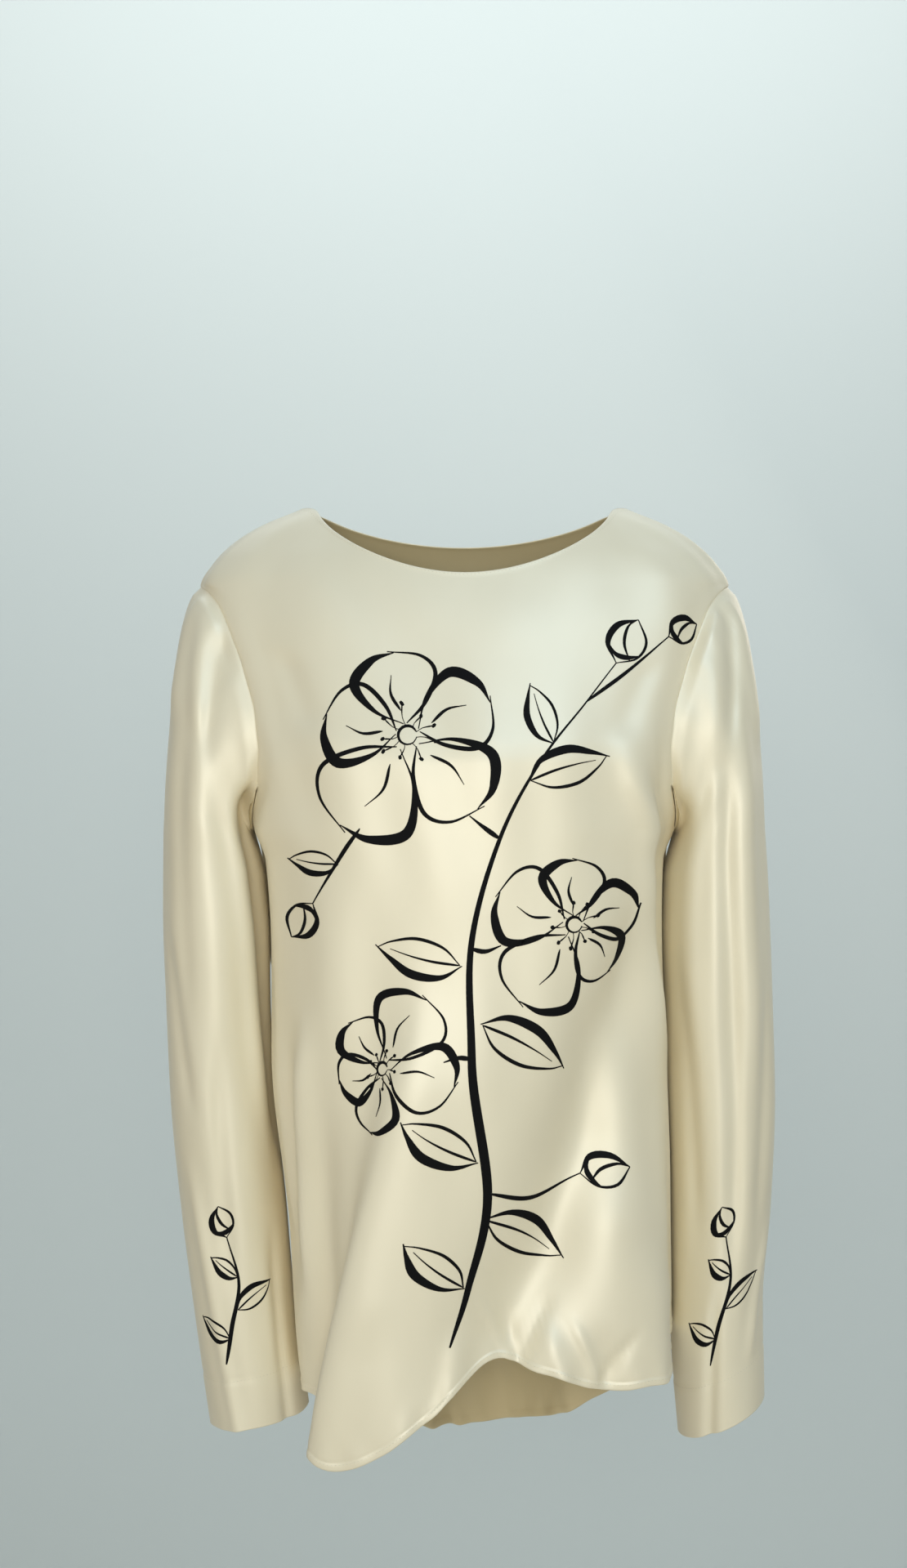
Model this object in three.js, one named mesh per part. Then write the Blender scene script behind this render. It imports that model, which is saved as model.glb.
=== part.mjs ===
// A long-sleeved pullover blouse in soft satin, in its hollow worn form.
// Millimetres, +Z up, front towards -Y, the wearer's left towards +X.
// The origin is the middle of the neck opening, level with the neck ends of the shoulder seams.
import * as THREE from 'three';

const WALL = 1.2;               // cloth wall of every piece
const SEAM_GAP = 0.3;           // space left between two pieces at a seam
const SLEEVE_GAP = 0.39;        // the same at an armhole, where a sleeve leaves at an angle
const FRONT_COLUMNS = 32;       // quads across the front
const BACK_COLUMNS = 24;        // quads across the back
const YOKE_ROWS = 3;            // quads down the shoulder seam
const BODY_ROWS = 13;           // quads from the underarm to the hem
const SLEEVE_RINGS = 14;        // rings from the underarm to the sleeve end

const TIP_SLOPE = 0.55;         // fall of the cloth where it passes over the shoulder tip
const HEAD_TILT_ENDS = 0.3;     // part of the hanging sleeve over which its rings level out
const END_TILT_STARTS = 0.55;   // part of it below which they take the sleeve end's tilt
const FOLD_FADE = 0.3;          // part of a fold's length over which it grows or dies away

const FRONT_NECK_DROP = 54;
const BACK_NECK_DROP = 22;
const FRONT_NECK_POWER = 5.2;   // how soon the front neckline rises beside the centre
const BACK_NECK_POWER = 4;
const HAIR = 1e-6;              // degrees that tell a seam's front side from its back side

// Rows of a table as objects, with the columns' names given once.
function table(columns, rows) {
  const names = columns.split(' ');
  return rows.map((row) => Object.fromEntries(names.map((name, i) => [name, row[i]])));
}

// The torso at each height: reach to either side, to the front and to the back,
// and how square its section is (2 is an ellipse). Down to -58 the sides are the shoulder seams.
const TORSO = table('z left right front back power', [
  [0, 123, 123, 34, 34, 2.2],
  [-12, 152, 152, 44, 46, 2.2],
  [-25, 173, 173, 54, 58, 2.2],
  [-40, 188, 188, 65, 70, 2.25],
  [-58, 198, 198, 75, 81, 2.3],
  [-85, 196, 196, 88, 93, 2.35],
  [-120, 188, 188, 101.5, 103, 2.4],
  [-150, 178, 178, 113, 109, 2.45],
  [-180, 168, 168, 122.5, 112, 2.5],
  [-212, 160, 160, 127.5, 113, 2.5],
  [-238, 157, 156, 129, 112, 2.55],
  [-262, 148, 148, 129.5, 111, 2.6],
  [-310, 144.5, 147, 128, 110, 2.6],
  [-400, 144, 150, 123, 112, 2.6],
  [-500, 134.5, 154, 119, 115, 2.6],
  [-600, 125, 153.5, 118, 118, 2.6],
  [-740, 108, 147, 118, 121, 2.6],
]);

// How far the armhole edge stands in from the torso's side, from shoulder tip to underarm.
const ARMHOLE = table('z front back', [
  [-58, 0, 0],
  [-65, 9, 7],
  [-78, 18, 13],
  [-98, 24, 17],
  [-122, 27, 19],
  [-148, 26, 18],
  [-176, 20.5, 14],
  [-203, 12, 8],
  [-225, 3.5, 2.5],
  [-238, 0, 0],
]);
const SHOULDER_TIP = ARMHOLE[0].z;
const UNDERARM = ARMHOLE[ARMHOLE.length - 1].z;

// The hem all round: turn is in degrees, 0 at the front centre, 90 at the +X side seam.
const HEM = table('turn z', [
  [-90, -636],
  [-70, -646],
  [-54, -652],
  [-40, -674],
  [-29, -688],
  [-14, -681],
  [-4, -652],
  [10, -610],
  [25, -622],
  [38, -632],
  [52, -629],
  [72, -615],
  [90, -606],
  [110, -640],
  [132, -684],
  [156, -716],
  [180, -727],
  [204, -718],
  [228, -692],
  [250, -660],
  [270, -636],
]);

// The largest folds of the torso. Each runs from (turn0, z0) down to (turn1, z1), in degrees and mm.
// depth is how far its crest stands out (or in, when negative), lean how far the crest is
// dragged round, width its half breadth in degrees, steep how much narrower its flank towards
// smaller turns is; open folds run off the hem.
const TORSO_FOLDS = table('turn0 z0 turn1 z1 width0 width1 depth0 depth1 lean steep open', [
  [-2, -330, -31, -700, 20, 17, 2, 22, -34, 0.7, 1],
  [10, -300, -9, -700, 22, 22, 2, 19, -12, 1, 1],
  [46, -320, 17, -700, 20, 15, -5, -13, 0, 1, 1],
  [-46, -470, -54, -700, 9, 10, -2, -15, 0, 1, 1],
  [-60, -430, -68, -700, 8, 8, 3, 7, 0, 1, 1],
  [-80, -240, -81, -600, 8, 8, -6, -6, 0, 1, 0],
  [-58, -160, -67, -540, 9, 8, 5, 6, 0, 0.7, 0],
  [50, -150, 66, -430, 10, 9, 6, 5, 0, 1, 0],
  [68, -165, 80, -400, 8, 7, -7, -5, 0, 1, 0],
  [44, -470, 50, -700, 16, 18, 5, 15, 0, 1, 1],
  [128, -230, 121, -740, 10, 13, 4, 13, 0, 1, 1],
  [150, -290, 146, -740, 9, 10, -4, -12, 0, 1, 1],
  [174, -260, 170, -740, 12, 15, 3, 14, 0, 1, 1],
  [200, -340, 197, -740, 8, 9, -4, -10, 0, 1, 1],
  [222, -240, 226, -740, 11, 15, 4, 15, 0, 1, 1],
  [248, -300, 251, -740, 8, 9, -3, -9, 0, 1, 1],
]);

// Sleeve heads: each ring is an oval from its outer (top) point to its under point.
// x is measured outwards from the torso's middle; armhole is how much of the armhole's own
// shape a ring still keeps.
const SLEEVE_HEAD = table('outerX outerZ underX underZ front back armhole', [
  [198, -58, 157, -238, 62, 64, 1],
  [207, -76, 158.5, -240, 64, 65, 0.62],
  [214, -104, 159, -243, 67, 66, 0.34],
  [218, -134, 157.5, -247, 69, 66, 0.15],
  [221, -168, 155.5, -252, 70, 66, 0.05],
  [223.5, -204, 152.8, -260, 70, 65, 0],
  [225, -240, 150, -273, 69, 64, 0],
]);

// The hanging sleeves at each height, and how much higher the outer edge is at the sleeve end.
const SLEEVES = [
  {
    name: 'sleeve_left', sign: 1, endTilt: 15,
    sections: table('z inner outer front back', [
      [-256, 150, 225, 69, 64],
      [-300, 148.6, 228, 67, 61],
      [-365, 150.4, 231, 64, 57],
      [-443, 153.4, 233, 59, 51],
      [-520, 155.5, 230, 54, 46],
      [-600, 155.5, 224, 50, 40],
      [-677, 161, 225, 47, 36],
    ]),
    folds: table('turn0 z0 turn1 z1 width depth steep open', [
      [24, -62, 34, -190, 11, 5, 1, 0],
      [46, -66, 86, -250, 10, -6, 1, 0],
      [86, -140, 82, -640, 10, -7, 1, 0],
      [60, -110, 62, -460, 13, 4, 1, 0],
      [124, -130, 132, -430, 12, 4, 1, 0],
      [250, -90, 262, -420, 12, -6, 1, 0],
      [296, -130, 286, -480, 13, 4, 1, 0],
    ]),
  },
  {
    name: 'sleeve_right', sign: -1, endTilt: -6,
    sections: table('z inner outer front back', [
      [-256, 150, 224.5, 69, 64],
      [-310, 146.3, 225, 68, 61],
      [-365, 145.8, 223.5, 65, 57],
      [-443, 142, 220, 60, 51],
      [-520, 134, 212.5, 54, 46],
      [-600, 127, 202, 50, 40],
      [-677, 117, 190.5, 47, 36],
    ]),
    folds: table('turn0 z0 turn1 z1 width depth steep open', [
      [22, -62, 30, -170, 11, 5, 1, 0],
      [58, -80, 80, -420, 12, -3.5, 1, 0],
      [118, -120, 152, -520, 11, 6, 1, 0],
      [140, -115, 174, -500, 11, -12, 1, 0],
      [248, -100, 258, -460, 12, -6, 1, 0],
      [300, -150, 290, -520, 14, 4, 1, 0],
    ]),
  },
];

const mix = (from, to, t) => from + (to - from) * t;
const radians = (degrees) => degrees * Math.PI / 180;

function smooth(t) {
  const c = Math.min(1, Math.max(0, t));
  return c * c * (3 - 2 * c);
}

// A smooth curve through two columns of a table that never overshoots its rows.
function curve(table, along, value) {
  const rows = [...table].sort((a, b) => a[along] - b[along]);
  const chord = rows.slice(1).map((row, i) => (row[value] - rows[i][value]) / (row[along] - rows[i][along]));
  const slope = rows.map((row, i) => {
    if (i === 0) return chord[0];
    if (i === rows.length - 1) return chord[i - 1];
    const [before, after] = [chord[i - 1], chord[i]];
    return before * after > 0 ? 2 * before * after / (before + after) : 0;
  });
  return (at) => {
    if (at <= rows[0][along]) return rows[0][value];
    if (at >= rows[rows.length - 1][along]) return rows[rows.length - 1][value];
    const i = rows.findIndex((row) => row[along] > at) - 1;
    const span = rows[i + 1][along] - rows[i][along];
    const t = (at - rows[i][along]) / span;
    const bend = t * (1 - t) * ((1 - t) * (slope[i] - chord[i]) - t * (slope[i + 1] - chord[i])) * span;
    return mix(rows[i][value], rows[i + 1][value], t) + bend;
  };
}

// One curve over the height for each named column of a table.
const curves = (rows, names) => Object.fromEntries(names.map((name) => [name, curve(rows, 'z', name)]));

const torso = curves(TORSO, ['left', 'right', 'front', 'back', 'power']);
const armhole = curves(ARMHOLE, ['front', 'back']);
const hem = curve(HEM, 'turn', 'z');

// Degrees from one direction round to another, between -180 and 180.
const turnBetween = (from, to) => ((to - from + 540) % 360 + 360) % 360 - 180;

// How strongly a fold acts at a place: 1 on its crest, 0 away from it.
function foldShare(fold, turn, z, width) {
  const down = (fold.z0 - z) / (fold.z0 - fold.z1);
  if (down <= 0) return 0;
  const away = turnBetween(mix(fold.turn0, fold.turn1, down), turn);
  const beside = away / width(down) / (away < 0 ? fold.steep : 1);
  const ends = smooth(down / FOLD_FADE) * (fold.open ? 1 : smooth((1 - down) / FOLD_FADE));
  return ends * Math.exp(-beside * beside);
}

// A point of the torso cloth. turn runs 0 front, 90 +X side, 180 back, 270 -X side.
function torsoPoint(turn, z) {
  const angle = radians(turn);
  const onFront = Math.cos(angle) >= 0;
  const half = Math.sin(angle) < 0 ? torso.left(z) : torso.right(z);
  const depth = onFront ? torso.front(z) : torso.back(z);
  const power = torso.power(z);
  const [across, along] = [Math.sin(angle), Math.cos(angle)];
  const reach = Math.pow(Math.abs(across) ** power + Math.abs(along) ** power, -1 / power);
  const inset = onFront ? armhole.front(z) : armhole.back(z);
  const u = across * reach * (1 - inset / half);
  const v = Math.sign(along) * Math.pow(Math.max(0, 1 - Math.abs(u) ** power), 1 / power);

  const out = new THREE.Vector3(
    Math.sign(u) * Math.abs(u) ** (power - 1) / half,
    -Math.sign(v) * Math.abs(v) ** (power - 1) / depth,
    0,
  ).normalize();
  const round = new THREE.Vector3(-out.y, out.x, 0);
  const point = new THREE.Vector3(u * half, -v * depth, z);
  for (const fold of TORSO_FOLDS) {
    const down = (fold.z0 - z) / (fold.z0 - fold.z1);
    const share = foldShare(fold, turn, z, (t) => mix(fold.width0, fold.width1, t));
    point.addScaledVector(out, share * mix(fold.depth0, fold.depth1, down));
    point.addScaledVector(round, share * fold.lean * smooth(down));
  }
  return point;
}

// The heights of one torso column, from the neckline past shoulder tip and underarm to the hem.
function columnHeights(turn) {
  const onFront = Math.cos(radians(turn)) >= 0;
  const drop = onFront ? FRONT_NECK_DROP : BACK_NECK_DROP;
  const neck = -drop * Math.abs(Math.cos(radians(turn))) ** (onFront ? FRONT_NECK_POWER : BACK_NECK_POWER);
  const yoke = Array.from({ length: YOKE_ROWS }, (_, i) => SHOULDER_TIP * i / YOKE_ROWS);
  const upper = [...yoke, ...ARMHOLE.map((row) => row.z)].map((z) => mix(neck, UNDERARM, z / UNDERARM));
  const bottom = hem(turn > 270 ? turn - 360 : turn);
  const lower = Array.from({ length: BODY_ROWS }, (_, i) => mix(UNDERARM, bottom, (i + 1) / BODY_ROWS));
  return [...upper, ...lower];
}

// Rows of points down a panel whose columns run from one turn to another.
function panelGrid(fromTurn, toTurn, columns) {
  const turns = Array.from({ length: columns + 1 }, (_, j) => mix(fromTurn, toTurn, j / columns));
  const heights = turns.map(columnHeights);
  return heights[0].map((_, i) => turns.map((turn, j) => torsoPoint(turn, heights[j][i])));
}

// Outward normals at the points of a grid, from the quads around each.
function gridNormals(grid, { wraps = false, flipped = false } = {}) {
  const normals = grid.map((row) => row.map(() => new THREE.Vector3()));
  const columns = grid[0].length;
  for (let i = 0; i < grid.length - 1; i += 1) {
    for (let j = 0; j < (wraps ? columns : columns - 1); j += 1) {
      const next = (j + 1) % columns;
      const fall = grid[i + 1][next].clone().sub(grid[i][j]);
      const rise = grid[i][next].clone().sub(grid[i + 1][j]);
      const face = fall.cross(rise).multiplyScalar(flipped ? -1 : 1);
      for (const row of [i, i + 1]) {
        normals[row][j].add(face);
        normals[row][next].add(face);
      }
    }
  }
  return normals.map((row) => row.map((normal) => normal.normalize()));
}

// A closed wall: the outer grid, the same grid moved in by WALL, and the rims between them.
function wall(name, grid, normals, { wraps = false, flipped = false } = {}) {
  const rows = grid.length;
  const columns = grid[0].length;
  const lastRow = rows - 1;
  const lastColumn = columns - 1;
  const outer = (i, j) => i * columns + j % columns;
  const inner = (i, j) => rows * columns + outer(i, j);
  const faces = [];
  const quad = (a, b, c, d) => faces.push(...(flipped ? [a, c, b, a, d, c] : [a, b, c, a, c, d]));

  for (let j = 0; j < (wraps ? columns : lastColumn); j += 1) {
    for (let i = 0; i < lastRow; i += 1) {
      quad(outer(i, j), outer(i + 1, j), outer(i + 1, j + 1), outer(i, j + 1));
      quad(inner(i, j + 1), inner(i + 1, j + 1), inner(i + 1, j), inner(i, j));
    }
    quad(outer(0, j), outer(0, j + 1), inner(0, j + 1), inner(0, j));
    quad(outer(lastRow, j + 1), outer(lastRow, j), inner(lastRow, j), inner(lastRow, j + 1));
  }
  for (let i = 0; i < lastRow && !wraps; i += 1) {
    quad(outer(i + 1, 0), outer(i, 0), inner(i, 0), inner(i + 1, 0));
    quad(outer(i, lastColumn), outer(i + 1, lastColumn), inner(i + 1, lastColumn), inner(i, lastColumn));
  }

  const moveIn = (point, i, j) => point.clone().addScaledVector(normals[i][j], -WALL);
  const within = grid.map((row, i) => row.map((point, j) => moveIn(point, i, j)));
  const positions = [...grid, ...within].flat().flatMap((point) => point.toArray());
  const geometry = new THREE.BufferGeometry();
  geometry.setAttribute('position', new THREE.Float32BufferAttribute(positions, 3));
  geometry.setIndex(faces);
  geometry.computeVertexNormals();
  const satin = new THREE.MeshStandardMaterial({ color: '#e2ddc6', roughness: 0.35, metalness: 0 });
  const mesh = new THREE.Mesh(geometry, satin);
  mesh.name = name;
  return mesh;
}

// Front and back, which meet at the shoulder and side seams with one shared normal there.
function makePanels() {
  const front = panelGrid(-90 + HAIR, 90 - HAIR, FRONT_COLUMNS);
  const back = panelGrid(90 + HAIR, 270 - HAIR, BACK_COLUMNS);
  const frontNormals = gridNormals(front);
  const backNormals = gridNormals(back);
  const underarmRow = YOKE_ROWS + ARMHOLE.length - 1;
  for (let i = 0; i < front.length; i += 1) {
    if (i > YOKE_ROWS && i < underarmRow) continue;
    for (const [j, k] of [[0, BACK_COLUMNS], [FRONT_COLUMNS, 0]]) {
      const shared = frontNormals[i][j].clone().add(backNormals[i][k]).normalize();
      frontNormals[i][j] = shared;
      backNormals[i][k] = shared;
    }
  }
  for (const point of front.flat()) point.y -= SEAM_GAP / 2;
  for (const point of back.flat()) point.y += SEAM_GAP / 2;
  return [wall('front', front, frontNormals), wall('back', back, backNormals)];
}

// The armhole's edge, from shoulder tip down the front and up the back, as torso points.
function armholeEdge(sign) {
  const side = sign * 90;
  const down = ARMHOLE.map((row) => torsoPoint(side - sign * HAIR, row.z));
  const up = ARMHOLE.slice(1, -1).reverse().map((row) => torsoPoint(side + sign * HAIR, row.z));
  return [...down, ...up];
}

// Directions round a sleeve that match the armhole's rows: 0 outer, 90 front, 180 inner.
function sleeveTurns() {
  const middle = (SHOULDER_TIP + UNDERARM) / 2;
  const reach = (SHOULDER_TIP - UNDERARM) / 2;
  const down = ARMHOLE.map((row) => Math.acos((row.z - middle) / reach) * 180 / Math.PI);
  const up = down.slice(1, -1).reverse().map((turn) => 360 - turn);
  return [...down, ...up];
}

// One point of an oval that leans from its under point to its outer point.
function ovalPoint(ring, sign, turn) {
  const [across, along] = [Math.cos(radians(turn)), Math.sin(radians(turn))];
  const share = (1 + across) / 2;
  const x = mix(ring.underX, ring.outerX, share);
  const z = mix(ring.underZ, ring.outerZ, share);
  const y = along >= 0 ? -ring.front * along : -ring.back * along;
  return new THREE.Vector3(sign * x, y, z);
}

// Rings of one sleeve, from the armhole seam over the head and down to the sleeve end.
function sleeveGrid({ sign, endTilt, sections, folds }) {
  const turns = sleeveTurns();
  const edge = armholeEdge(sign);
  const heads = SLEEVE_HEAD.map((ring) => turns.map((turn, j) => {
    const own = ovalPoint(SLEEVE_HEAD[0], sign, turn);
    return ovalPoint(ring, sign, turn).add(edge[j].clone().sub(own).multiplyScalar(ring.armhole));
  }));

  const section = curves(sections, ['inner', 'outer', 'front', 'back']);
  const top = sections[0].z;
  const end = sections[sections.length - 1].z;
  const lastHead = SLEEVE_HEAD[SLEEVE_HEAD.length - 1];
  const headTilt = (lastHead.outerZ - lastHead.underZ) / 2;
  const hanging = Array.from({ length: SLEEVE_RINGS }, (_, i) => {
    const down = (i + 1) / SLEEVE_RINGS;
    const z = mix(top, end, down);
    const fromHead = 1 - smooth(down / HEAD_TILT_ENDS);
    const toEnd = smooth((down - END_TILT_STARTS) / (1 - END_TILT_STARTS));
    const tilt = headTilt * fromHead + endTilt * toEnd;
    const ring = {
      outerX: section.outer(z),
      outerZ: z + tilt,
      underX: section.inner(z),
      underZ: z - tilt,
      front: section.front(z),
      back: section.back(z),
    };
    return turns.map((turn) => ovalPoint(ring, sign, turn));
  });

  const rings = [...heads, ...hanging];
  for (const ring of rings.slice(1)) {
    const middle = ring.reduce((sum, point) => sum.add(point), new THREE.Vector3()).divideScalar(ring.length);
    ring.forEach((point, j) => {
      const out = point.clone().sub(middle).normalize();
      for (const fold of folds) {
        const share = foldShare(fold, turns[j], point.z, () => fold.width);
        point.addScaledVector(out, share * fold.depth);
      }
    });
  }
  rings[0].forEach((point, j) => {
    const over = Math.max(0, Math.cos(radians(turns[j])));
    const away = new THREE.Vector3(sign, 0, -TIP_SLOPE * over).normalize();
    point.addScaledVector(away, SLEEVE_GAP);
  });
  return rings;
}

const blouse = new THREE.Group();
blouse.name = 'blouse';
blouse.add(...makePanels());
for (const sleeve of SLEEVES) {
  const grid = sleeveGrid(sleeve);
  const shape = { wraps: true, flipped: sleeve.sign > 0 };
  blouse.add(wall(sleeve.name, grid, gridNormals(grid, shape), shape));
}

export default blouse;
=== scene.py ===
# A satin pullover blouse in its hollow worn form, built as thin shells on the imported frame.
import math

import bpy
import numpy as np
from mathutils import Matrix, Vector


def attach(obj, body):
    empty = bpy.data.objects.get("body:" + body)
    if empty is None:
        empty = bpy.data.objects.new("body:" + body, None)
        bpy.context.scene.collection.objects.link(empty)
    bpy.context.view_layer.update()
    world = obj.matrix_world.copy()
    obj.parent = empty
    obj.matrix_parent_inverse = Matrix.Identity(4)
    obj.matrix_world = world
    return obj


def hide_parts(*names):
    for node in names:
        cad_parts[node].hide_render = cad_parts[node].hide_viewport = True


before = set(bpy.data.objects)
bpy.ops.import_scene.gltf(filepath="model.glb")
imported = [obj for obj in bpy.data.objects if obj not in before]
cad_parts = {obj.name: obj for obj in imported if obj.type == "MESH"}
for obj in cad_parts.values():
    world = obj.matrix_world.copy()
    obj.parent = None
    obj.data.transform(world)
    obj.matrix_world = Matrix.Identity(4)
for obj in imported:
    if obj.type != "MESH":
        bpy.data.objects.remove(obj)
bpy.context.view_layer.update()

# ------------------------------ sizes, in millimetres

MM = 0.001
CLOTH = 0.45                # satin thickness
SEAM_SPACE = 0.1            # space between two panels at a seam
HEM_TURN = 5.5              # width of the narrow rolled hem
CUFF_TURN = 38.0            # depth of the turn-up inside each sleeve end
FRONT_NECK = {"drop": 54, "power": 5.2}
BACK_NECK = {"drop": 22, "power": 4}
HAIR = 1e-6                 # degrees or mm that tell one side of a seam from the other
TIP_SLOPE = 0.55            # fall of the cloth where it passes over the shoulder tip
HEAD_TILT_ENDS = 0.3        # part of the hanging sleeve over which its rings level out
END_TILT_STARTS = 0.55      # part of it below which they take the sleeve end's tilt
FOLD_FADE = 0.3             # part of a fold's length over which it grows or dies away


def table(columns, rows):
    """The columns of a table by name."""
    return {name: np.array([row[i] for row in rows], float) for i, name in enumerate(columns.split())}


# The torso at each height: reach to either side, to the front and to the back,
# and how square its section is (2 is an ellipse). Down to -58 the sides are the shoulder seams.
TORSO = table("z left right front back power", [
    [0, 123, 123, 34, 34, 2.2],
    [-12, 152, 152, 44, 46, 2.2],
    [-25, 173, 173, 54, 58, 2.2],
    [-40, 188, 188, 65, 70, 2.25],
    [-58, 198, 198, 75, 81, 2.3],
    [-85, 196, 196, 88, 93, 2.35],
    [-120, 188, 188, 101.5, 103, 2.4],
    [-150, 178, 178, 113.5, 109, 2.45],
    [-166, 173, 173, 120.3, 111, 2.48],
    [-180, 168, 168, 125.8, 112, 2.5],
    [-192, 165, 165, 128.4, 112.6, 2.5],
    [-212, 160, 160, 129.2, 113, 2.5],
    [-238, 157, 156, 129, 112, 2.55],
    [-262, 148, 148, 129, 111, 2.6],
    [-310, 144.5, 147, 128, 110, 2.6],
    [-400, 144, 150, 123, 112, 2.6],
    [-500, 134.5, 154, 119, 115, 2.6],
    [-600, 123.5, 153.5, 118, 118, 2.6],
    [-740, 103, 147, 118, 121, 2.6],
])

# How far the armhole edge stands in from the torso's side, from shoulder tip to underarm.
ARMHOLE = table("z front back", [
    [-58, 0, 0],
    [-65, 9, 7],
    [-78, 18, 13],
    [-98, 24, 17],
    [-122, 27, 19],
    [-148, 26, 18],
    [-176, 20.5, 14],
    [-203, 12, 8],
    [-225, 3.5, 2.5],
    [-238, 0, 0],
])
SHOULDER_TIP = ARMHOLE["z"][0]
UNDERARM = ARMHOLE["z"][-1]

# The hem all round: turn is in degrees, 0 at the front centre, 90 at the +X side seam.
HEM = table("turn z", [
    [-90, -636],
    [-70, -646],
    [-54, -650],
    [-40, -660],
    [-31, -674],
    [-24, -681],
    [-14, -669],
    [-4, -645],
    [10, -609],
    [25, -622],
    [38, -632],
    [52, -629],
    [72, -615],
    [90, -606],
    [110, -640],
    [132, -684],
    [156, -716],
    [180, -727],
    [204, -718],
    [228, -692],
    [250, -660],
    [270, -636],
])

FOLD_COLUMNS = "turn0 z0 turn1 z1 width0 width1 depth0 depth1 lean steep open"

# The torso's folds run from (turn0, z0) down to (turn1, z1). depth is how far the crest stands
# out (or in, when negative), lean how far it is dragged round, width its half breadth in degrees,
# steep how much narrower its flank towards smaller turns is; open folds run off the hem.
LARGE_FOLDS = table(FOLD_COLUMNS, [
    [-7, -310, -31, -700, 20, 17, 5, 27, -36, 0.5, 1],
    [8, -300, -12, -700, 21, 20, 2, 16, -12, 1, 1],
    [56, -270, 4, -660, 12, 11, -17, -26, 0, 1, 0],
    [-40, -400, -54, -700, 6, 9, -5, -15, 0, 1, 1],
    [-60, -430, -68, -700, 8, 8, 3, 7, 0, 1, 1],
    [-75, -240, -76, -600, 5, 5, -4, -5, 0, 1, 0],
    [-58, -160, -67, -540, 9, 8, 5, 6, 0, 0.7, 0],
    [50, -150, 66, -430, 10, 9, 6, 5, 0, 1, 0],
    [63, -165, 73, -400, 6, 5, -5, -4, 0, 1, 0],
    [40, -450, 48, -700, 15, 18, 6, 17, 0, 1, 1],
    [128, -230, 121, -740, 10, 13, 6, 15, 0, 1, 1],
    [152, -250, 146, -740, 8, 9, -7, -15, 0, 1, 1],
    [175, -260, 170, -740, 10, 13, 5, 16, 0, 1, 1],
    [202, -300, 197, -740, 7, 8, -7, -13, 0, 1, 1],
    [222, -240, 226, -740, 10, 13, 6, 17, 0, 1, 1],
    [248, -300, 251, -740, 8, 9, -3, -9, 0, 1, 1],
])

# Smaller folds, in the same columns.
SMALL_FOLDS = table(FOLD_COLUMNS, [
    [-45, -350, -55, -600, 4.5, 4.5, 6, 6, -5, 0.7, 0],
    [-53, -360, -63, -600, 3.8, 3.8, -5, -5, 0, 1, 0],
    [-65, -290, -66, -620, 3.6, 3.6, -3.4, -3.4, 0, 1, 0],
    [-34, -250, -40, -430, 7, 7, 1.8, 1.8, 0, 1, 0],
    [43, -160, 62, -400, 5, 5, 5, 4.5, 3, 0.7, 0],
    [54, -170, 72, -400, 4.5, 4.5, -5, -4.5, 0, 1, 0],
    [26, -300, 40, -520, 8, 8, -1.8, -1.8, 0, 1, 0],
    [60, -420, 58, -560, 5, 5, 2.4, 2.4, 0, 1, 0],
    [-50, -105, -42, -175, 6, 6, -2.4, -2.4, 0, 1, 0],
    [52, -110, 44, -180, 6, 6, -2.2, -2.2, 0, 1, 0],
    [-14, -560, -22, -720, 4, 5, -2.5, -4.5, 0, 1, 1],
    [-37, -600, -42, -720, 3, 4, -2.5, -4, 0, 1, 1],
    [3, -575, -1, -680, 2.2, 2.8, 3.6, 5, 0, 1, 1],
    [12, -565, 15, -680, 2.4, 3.2, -4, -5.5, 0, 1, 1],
    [20, -570, 30, -680, 2.4, 3.4, 4, 5, 0, 1, 1],
    [35, -580, 40, -700, 3.4, 4.2, -3.6, -5, 0, 1, 1],
    [56, -560, 60, -700, 4.5, 5, -2.2, -4.2, 0, 1, 1],
    [67, -575, 70, -700, 3.4, 4, 2.2, 3, 0, 1, 1],
    [50, -520, 53, -690, 8, 9, 5, 9, 0, 1, 0],
    [6, -555, 17, -640, 1.5, 1.8, 3.5, 3.0, 0, 0.6, 0],
    [24, -560, 10, -640, 1.3, 1.8, -3.0, -3.0, 0, 1, 0],
    [27, -575, 37, -650, 1.5, 1.8, 3.2, 2.6, 0, 0.6, 0],
    [44, -585, 30, -650, 1.5, 1.8, -2.6, -2.6, 0, 1, 0],
    [114, -420, 112, -740, 5, 6, -2, -5, 0, 1, 1],
    [137, -300, 134, -620, 5, 5, -2.6, -2.6, 0, 1, 0],
    [162, -200, 160, -400, 6, 6, 2, 2, 0, 1, 0],
    [184, -430, 186, -740, 5, 7, 2, 4, 0, 1, 1],
    [108, -215, 106, -380, 8, 8, 11, 9, 0, 1, 0],
    [252, -215, 254, -380, 8, 8, 10, 8, 0, 1, 0],
    [212, -260, 210, -560, 5, 5, -2.8, -2.8, 0, 1, 0],
    [236, -520, 238, -740, 5, 6, -2, -5, 0, 1, 1],
    [206, -110, 196, -210, 7, 7, 2.2, 2.2, 0, 1, 0],
    [152, -105, 166, -200, 7, 7, 2.2, 2.2, 0, 1, 0],
])
ALL_FOLDS = {name: np.concatenate([LARGE_FOLDS[name], SMALL_FOLDS[name]]) for name in LARGE_FOLDS}

# Sleeve heads: each ring is an oval from its outer (top) point to its under point.
# x is measured outwards; armhole is how much of the armhole's own shape a ring still keeps.
SLEEVE_HEAD = table("ring outerX outerZ underX underZ front back armhole", [
    [0, 198, -58, 157, -238, 62, 64, 1],
    [1, 207, -76, 158.5, -240, 64, 65, 0.62],
    [2, 214, -104, 159, -243, 67, 66, 0.34],
    [3, 218, -134, 157.5, -247, 69, 66, 0.15],
    [4, 221, -168, 155.5, -252, 70, 66, 0.05],
    [5, 223.5, -204, 152.8, -260, 70, 65, 0],
    [6, 225, -240, 150, -273, 69, 64, 0],
])

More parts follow.
